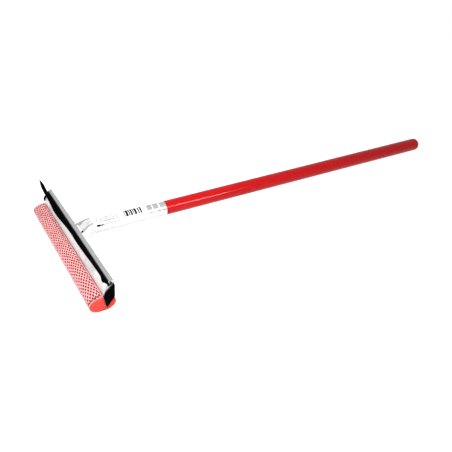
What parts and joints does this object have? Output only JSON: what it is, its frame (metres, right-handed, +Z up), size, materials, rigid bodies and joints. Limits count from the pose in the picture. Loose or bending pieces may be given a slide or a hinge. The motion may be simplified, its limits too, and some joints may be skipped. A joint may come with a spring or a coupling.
{
  "type": "squeegee",
  "caption": "Long-handled windshield squeegee: rubber blade in a folded steel head, net-covered scrubbing sponge below it, white socket yoke and round red wooden handle.",
  "frame": {"origin": "middle of the sponge's flat underside, on which the tool lies with the tip of its handle", "axes": "+X along the head, +Y level towards the tip of the handle, +Z up"},
  "size_m": [0.2915, 0.5875, 0.0469],
  "materials": {
    "handle_paint": "glossy red paint on a wooden dowel",
    "steel": "plain steel",
    "paper": "matt white printed paper",
    "white_paint": "smooth white paint",
    "sheet_steel": "galvanised sheet",
    "bright_steel": "bright plated sheet",
    "rubber": "matt black rubber",
    "black_plastic": "matt black plastic",
    "foam": "red open-cell foam",
    "net": "pink knitted net"
  },
  "bodies": {
    "root": {"handle": "handle_paint", "handle_nail": "steel", "label": "paper", "yoke": "white_paint", "yoke_rivet_far": "steel", "yoke_rivet_near": "steel", "back_sheet": "sheet_steel", "front_plate": "bright_steel", "end_plate_far": "sheet_steel", "end_plate_near": "sheet_steel", "wiper_blade": "rubber", "end_cap_far": "black_plastic", "end_cap_near": "black_plastic", "sponge": "foam", "net_cover": "net"}
  },
  "joints": []
}
